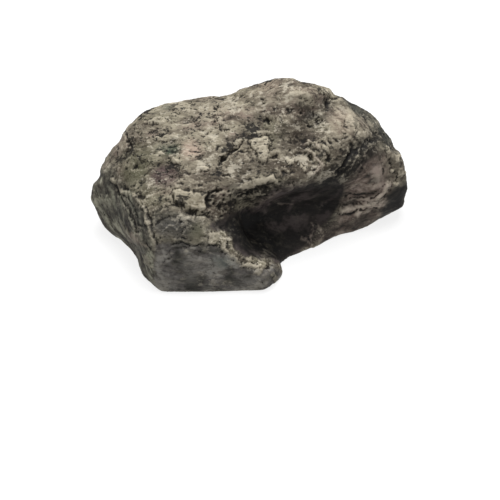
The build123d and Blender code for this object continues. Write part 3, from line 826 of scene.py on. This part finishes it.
def painted_resin():
    """Cast polyresin, painted: a dark wash stays in the hollows and a dry brush of pale
    stone colour catches the high spots. It is matt, with a faint sheen."""
    material, tree = new_material("painted_polyresin")
    tint = node(tree, "Attribute", attribute_name="tint").outputs["Color"]
    relief = node(tree, "Attribute", attribute_name="relief").outputs["Fac"]
    form = node(tree, "Attribute", attribute_name="roughness_of_form").outputs["Fac"]
    place = node(tree, "TexCoord")
    grain = noise_pattern(tree, bedded(tree, place, 1.5), 0.8, 5.0, in_Roughness=0.7)
    streaks = noise_pattern(tree, bedded(tree, place, 4.0), 0.9, 4.0, in_Roughness=0.6,
                            in_Distortion=0.4)
    patches = noise_pattern(tree, bedded(tree, place, 1.8), 2.6, 6.0, in_Roughness=0.62,
                            in_Distortion=0.8)
    clusters = noise_pattern(tree, place.outputs["Object"], 6.0, 2.0)
    specks = noise_pattern(tree, bedded(tree, place, 1.4), 1.1, 4.0, in_Roughness=0.75)
    dots = node(tree, "TexVoronoi", [(bedded(tree, place, 1.7), "Vector")],
                in_Scale=1 / (1.2 * MM), in_Randomness=1.0).outputs["Distance"]

    def sum_of(first, second, factor):
        """first + factor * (second - 0.5)"""
        moved = node(tree, "Math", [(second, 0)], operation="SUBTRACT", in_1=0.5)
        return node(tree, "Math", [(moved.outputs[0], 0), (first, 2)],
                    operation="MULTIPLY_ADD", in_1=factor).outputs[0]

    def product(first, second):
        return node(tree, "Math", [(first, 0), (second, 1)], operation="MULTIPLY").outputs[0]

    # fine mottling and streaks either side of the tint
    tone = mixed(tree, tint, "c2b8a2", product(ranged(tree, patches, 0.52, 0.68, 0.35), form))
    tone = mixed(tree, tone, "6a6052", ranged(tree, patches, 0.47, 0.33, 0.6), "MULTIPLY")
    tone = mixed(tree, tone, "c2b8a2", product(ranged(tree, streaks, 0.53, 0.72, 0.4), form))
    tone = mixed(tree, tone, "6a6052", ranged(tree, streaks, 0.47, 0.3, 0.5), "MULTIPLY")
    # wash and dry brush follow the relief, broken up by the grain
    height = sum_of(relief, grain, 0.9)
    tone = mixed(tree, tone, "4a4339", ranged(tree, height, 0.4, 0.17, 0.92), "MULTIPLY")
    paler = mixed(tree, tone, "d2c8b2", 0.6)
    tone = mixed(tree, tone, paler, product(ranged(tree, height, 0.64, 0.95, 0.8), form))
    # pale and near-black specks, and near-black dots in clusters
    gate = sum_of(specks, clusters, -0.9)
    tone = mixed(tree, tone, "ddd4c0", product(ranged(tree, gate, 0.61, 0.68, 0.6), form))
    tone = mixed(tree, tone, "17130f", product(ranged(tree, gate, 0.41, 0.36, 0.95), form))
    dots = sum_of(dots, grain, 0.5)
    dots = product(ranged(tree, dots, 0.24, 0.15, 0.95), ranged(tree, clusters, 0.47, 0.56, 1.0))
    tone = mixed(tree, tone, "14100c", product(dots, form))

    bump_height = product(sum_of(grain, streaks, 0.6), form)
    finish_surface(tree, [(tone, "Base Color")], bump_height, 0.9, 0.5,
                   in_Roughness=0.6, in_IOR=1.5, in_Specular_IOR_Level=0.3)
    return material


def bare_resin():
    """Cast polyresin as it leaves the mould, with only a dusting of paint on it. It is the
    grey-brown inside of the recess, the pocket and the channel."""
    material, tree = new_material("bare_polyresin")
    place = node(tree, "TexCoord")
    dust = noise_pattern(tree, place.outputs["Object"], 1.8, 5.0, in_Roughness=0.6)
    colour = node(tree, "Mix", [(dust, 0)], data_type="RGBA",
                  in_6=(*linear("554e46"), 1), in_7=(*linear("787064"), 1)).outputs[2]
    finish_surface(tree, [(colour, "Base Color")], dust, 0.4, 0.12,
                   in_Roughness=0.8, in_IOR=1.5, in_Specular_IOR_Level=0.25)
    return material


def moulded_plastic(name, colour, roughness, texture_depth):
    """Injection-moulded ABS, spark-eroded to a fine matt grain."""
    material, tree = new_material(name)
    place = node(tree, "TexCoord")
    grain = noise_pattern(tree, place.outputs["Object"], 0.45, 3.0, in_Roughness=0.6)
    flow = noise_pattern(tree, place.outputs["Object"], 14.0, 2.0)
    shine = node(tree, "MapRange", [(flow, "Value")], in_From_Min=0.35, in_From_Max=0.65,
                 in_To_Min=roughness - 0.05, in_To_Max=roughness + 0.06).outputs[0]
    finish_surface(tree, [(shine, "Roughness")], grain, 0.35, texture_depth,
                   in_Base_Color=(*linear(colour), 1), in_IOR=1.53)
    return material


skin_mesh.materials.append(painted_resin())
bare = bare_resin()
skin_mesh.materials.append(bare)

# ---- openings underneath ----

FRAME_GAP = 0.15            # glue gaps and the door's clearances, as in the casting
TUB_GAP = 0.25
CHANNEL_GAP = 0.8
CHANNEL_HEADROOM = 0.6
FLANGE = 1.2                # the tub's flange, from its lowest face up
RECESS_RADIUS = 3.15        # upright edges of the recess, the pocket and the channel
POCKET_RADIUS = 4.45
CHANNEL_RADIUS = 0.4
CORNER_STEPS = 6
TUB_TOP = 2.0               # the tub is read this far down from its top, clear of its flange
BELOW = 3.0                 # how far the cutting blocks start below the ground
BEYOND = 9.0                # how far the channel's block passes the stone's right-hand end
LEVEL_NORMAL = 0.9999       # the base's faces are this level, and this low in metres
LEVEL_HEIGHT = 1e-6


def box_above(name, height):
    """The box round a piece's points that lie above a height in metres."""
    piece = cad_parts[name]
    corners = [v.co for v in piece.data.vertices if v.co.z > height]
    low = Vector([min(c[i] for c in corners) for i in range(3)])
    high = Vector([max(c[i] for c in corners) for i in range(3)])
    return low, high


def cutting_block(name, low, high, radius):
    """A block with rounded upright edges, made of bare resin's faces. Lengths in metres."""
    ring = []
    for x, y, start in ((high[0] - radius, high[1] - radius, 0),
                        (low[0] + radius, high[1] - radius, 90),
                        (low[0] + radius, low[1] + radius, 180),
                        (high[0] - radius, low[1] + radius, 270)):
        for i in range(CORNER_STEPS + 1):
            angle = math.radians(start + 90 * i / CORNER_STEPS)
            ring.append((x + radius * math.cos(angle), y + radius * math.sin(angle)))
    count = len(ring)
    points = [(x, y, low[2]) for x, y in ring] + [(x, y, high[2]) for x, y in ring]
    faces = [tuple(reversed(range(count))), tuple(range(count, 2 * count))]
    for i in range(count):
        after = (i + 1) % count
        faces.append((i, after, count + after, count + i))
    mesh = bpy.data.meshes.new(name)
    mesh.from_pydata(points, [], faces)
    mesh.materials.append(bare)
    return new_object(name, mesh)


def cut_openings():
    """Cuts the recess, the pocket and the channel into the stone, and gives its new mesh."""
    tub_low, tub_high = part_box("key_tub")
    pocket_low, pocket_high = box_above("key_tub", tub_high.z - TUB_TOP * MM)
    track_low, track_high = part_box("track_frame")
    door_low, door_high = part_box("slide_door")
    below = -BELOW * MM
    flange_top = tub_low.z + FLANGE * MM
    gap = FRAME_GAP * MM
    recess = cutting_block("recess_cutter", (track_low.x - gap, track_low.y - gap, below),
                           (track_high.x + gap, track_high.y + gap, flange_top),
                           RECESS_RADIUS * MM)
    gap = TUB_GAP * MM
    pocket = cutting_block("pocket_cutter", (pocket_low.x - gap, pocket_low.y - gap, below),
                           (pocket_high.x + gap, pocket_high.y + gap, pocket_high.z + gap),
                           POCKET_RADIUS * MM)
    gap = CHANNEL_GAP * MM
    middle = (track_low.x + track_high.x) / 2
    channel = cutting_block("channel_cutter", (middle, door_low.y - gap, below),
                            (cad_high.x + BEYOND * MM, door_high.y + gap,
                             door_high.z + CHANNEL_HEADROOM * MM), CHANNEL_RADIUS * MM)
    for cutter in (recess, pocket, channel):
        cut = stone.modifiers.new(cutter.name, "BOOLEAN")
        cut.operation = "DIFFERENCE"
        cut.solver = "MANIFOLD"
        cut.object = cutter
    made = evaluated_mesh(stone)
    stone.modifiers.clear()
    stone.data = made
    for cutter in (recess, pocket, channel):
        bpy.data.objects.remove(cutter)
    return made


def thin_the_base(mesh):
    """Joins the small faces of the flat base into a few large ones."""
    work = bmesh.new()
    work.from_mesh(mesh)
    flat = [v for v in work.verts
            if all(abs(f.normal.z) > LEVEL_NORMAL
                   and max(c.co.z for c in f.verts) < LEVEL_HEIGHT for f in v.link_faces)]
    chosen = set(flat)
    # The edges stay in the mesh's own order, so that every run joins the same faces.
    edges = [e for e in work.edges if not chosen.isdisjoint(e.verts)]
    bmesh.ops.dissolve_limit(work, angle_limit=0.01, verts=flat, edges=edges)
    work.to_mesh(mesh)
    work.free()


thin_the_base(cut_openings())

# ---- plastic pieces ----

# Piece: (slot, material, colour, roughness, grain depth in mm, rounding of the edges in mm).
PLASTIC = {
    "key_tub": ("tub_plastic", "abs_charcoal_tub", "2b2b2a", 0.5, 0.05, 0.25),
    "track_frame": ("tub_plastic", "abs_charcoal_frame", "2b2b2a", 0.5, 0.05, 0.2),
    "slide_door": ("door_plastic", "abs_black_door", "1c1c1c", 0.42, 0.06, 0.22),
}
for name, (slot, material_name, colour, roughness, texture, edge) in PLASTIC.items():
    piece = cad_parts[name]
    piece.data.materials.clear()
    piece.data.materials.append(moulded_plastic(material_name, colour, roughness, texture))
    bevel = piece.modifiers.new("moulded_edges", "BEVEL")
    bevel.width = edge * MM
    bevel.segments = 2
    bevel.limit_method = "ANGLE"
    bevel.angle_limit = math.radians(35)

# ---- floor, light and camera ----

FLOOR_REACH = 3.0           # metres from the middle to each side of the floor
PAPER_GREY = 0.3
PAPER_GLOW = 0.8            # keeps the paper white beside the stone
SURROUND_LEVEL = 0.4
LAMP_PLACE = (0.1, 0.1, 0.85)
LAMP_AIM = (0, 0, 0.02)
LAMP_SIZE = 0.6
LAMP_POWER = 7.0


def add_floor():
    """White paper under the stone, which takes its shadow."""
    reach = FLOOR_REACH
    mesh = bpy.data.meshes.new("floor")
    mesh.from_pydata([(-reach, -reach, 0), (reach, -reach, 0), (reach, reach, 0),
                      (-reach, reach, 0)], [], [(0, 1, 2, 3)])
    floor = new_object("floor", mesh)
    material, tree = new_material("white_paper")
    rays = node(tree, "LightPath")
    paper = node(tree, "BsdfDiffuse", in_Color=(PAPER_GREY, PAPER_GREY, PAPER_GREY, 1))
    glow = node(tree, "Emission", in_Strength=PAPER_GLOW)
    both = node(tree, "AddShader", [(paper.outputs[0], 0), (glow.outputs[0], 1)])
    # Only the camera sees the paper, and only from above, so that light reaches the stone
    # from all round and its underside can be looked at.
    side = node(tree, "NewGeometry")
    unseen = node(tree, "Math", [(rays.outputs["Is Camera Ray"], 1)],
                  operation="SUBTRACT", in_0=1.0)
    hidden = node(tree, "Math", [(unseen.outputs[0], 0), (side.outputs["Backfacing"], 1)],
                  operation="MAXIMUM")
    clear = node(tree, "BsdfTransparent")
    sided = node(tree, "MixShader", [(hidden.outputs[0], 0), (both.outputs[0], 1),
                                     (clear.outputs[0], 2)])
    node(tree, "OutputMaterial", [(sided.outputs[0], "Surface")])
    mesh.materials.append(material)


def point_at(thing, place, aim):
    """Puts a lamp or a camera in its place and turns it to its aim."""
    thing.location = place
    thing.rotation_mode = "QUATERNION"
    thing.rotation_quaternion = (Vector(aim) - Vector(place)).to_track_quat("-Z", "Y")


def add_light():
    """A soft box overhead, a little behind the stone and to its right."""
    lamp = bpy.data.lights.new("overhead_softbox", "AREA")
    lamp.shape = "SQUARE"
    lamp.size = LAMP_SIZE
    lamp.energy = LAMP_POWER
    point_at(new_object("overhead_softbox", lamp), LAMP_PLACE, LAMP_AIM)


def add_world():
    """Even light from all round, which the camera sees as white."""
    world = bpy.data.worlds.new("studio")
    bpy.context.scene.world = world
    world.use_nodes = True
    tree = world.node_tree
    tree.nodes.clear()
    rays = node(tree, "LightPath")
    soft = node(tree, "Background", in_Color=(1, 1, 1, 1), in_Strength=SURROUND_LEVEL)
    white = node(tree, "Background", in_Color=(1, 1, 1, 1), in_Strength=1.0)
    mix = node(tree, "MixShader", [(rays.outputs["Is Camera Ray"], 0), (soft.outputs[0], 1),
                                   (white.outputs[0], 2)])
    node(tree, "OutputWorld", [(mix.outputs[0], "Surface")])


def add_camera():
    """Stands where the photographer stood, aimed so that ANCHOR shows at ANCHOR_PIXEL."""
    middle = PHOTO_SIZE / 2
    aim = (ANCHOR - CAMERA_RIGHT * ((ANCHOR_PIXEL[0] - middle) / PIXELS_PER_M)
           + CAMERA_UP * ((ANCHOR_PIXEL[1] - middle) / PIXELS_PER_M))
    data = bpy.data.cameras.new("photo_camera")
    data.sensor_width = SENSOR
    data.lens = FOCAL_PIXELS / PHOTO_SIZE * SENSOR
    data.clip_start = 0.01
    data.clip_end = 20.0
    camera = new_object("photo_camera", data)
    point_at(camera, CAMERA_PLACE, aim)
    bpy.context.scene.camera = camera


add_floor()
add_light()
add_world()
add_camera()
bpy.context.scene.view_settings.view_transform = "Standard"
